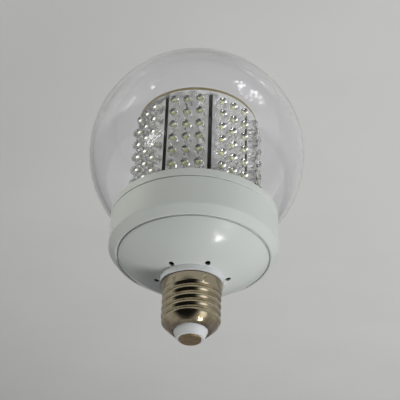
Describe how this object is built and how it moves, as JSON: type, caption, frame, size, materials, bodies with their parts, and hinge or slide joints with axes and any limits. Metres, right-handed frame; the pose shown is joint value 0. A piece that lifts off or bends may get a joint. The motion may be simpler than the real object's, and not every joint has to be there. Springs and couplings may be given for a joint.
{
  "type": "led globe bulb",
  "caption": "Clear globe LED bulb with a screw cap, a white collar and bowl, and a drum of LED boards inside; hangs cap up in a lamp holder.",
  "frame": {"origin": "middle of the centre contact's outer face", "axes": "+Z out of the contact along the bulb's axis, up as the bulb hangs; -Y the way LED board 1 faces"},
  "size_m": [0.1022, 0.1022, 0.1513],
  "materials": {
    "clear_globe": "clear, polished",
    "white_housing": "moulded gloss white",
    "plated_cap": "nickel plated, warm tint",
    "white_insulator": "smooth white",
    "brass_contact": "dull, darkened",
    "led_board": "white solder mask",
    "clear_led": "clear moulded resin",
    "driver_board": "green solder mask",
    "capacitor_can": "sleeved can",
    "choke_winding": "lacquered wire",
    "black_package": "moulded black",
    "red_wire": "insulated",
    "black_wire": "insulated",
    "steel_screw": "zinc plated"
  },
  "bodies": {
    "root": {"base_board": "led_board", "base_board_screws": "steel_screw", "base_bowl": "white_housing", "cap_insulator": "white_insulator", "capacitor": "capacitor_can", "centre_contact": "brass_contact", "choke": "choke_winding", "collar": "white_housing", "contact_wire": "red_wire", "diodes": "black_package", "driver_board": "driver_board", "driver_chip": "black_package", "driver_screws": "steel_screw", "feed_wires": "red_wire", "globe": "clear_globe", "globe_ring": "white_housing", "led_board_1": "led_board", "led_board_2": "led_board", "led_board_3": "led_board", "led_board_4": "led_board", "led_board_5": "led_board", "led_board_6": "led_board", "led_board_7": "led_board", "led_board_8": "led_board", "leds_1": "clear_led", "leds_2": "clear_led", "leds_3": "clear_led", "leds_4": "clear_led", "leds_5": "clear_led", "leds_6": "clear_led", "leds_7": "clear_led", "leds_8": "clear_led", "screw_shell": "plated_cap", "shell_wire": "black_wire", "top_board": "led_board", "top_leds": "clear_led"}
  },
  "joints": []
}
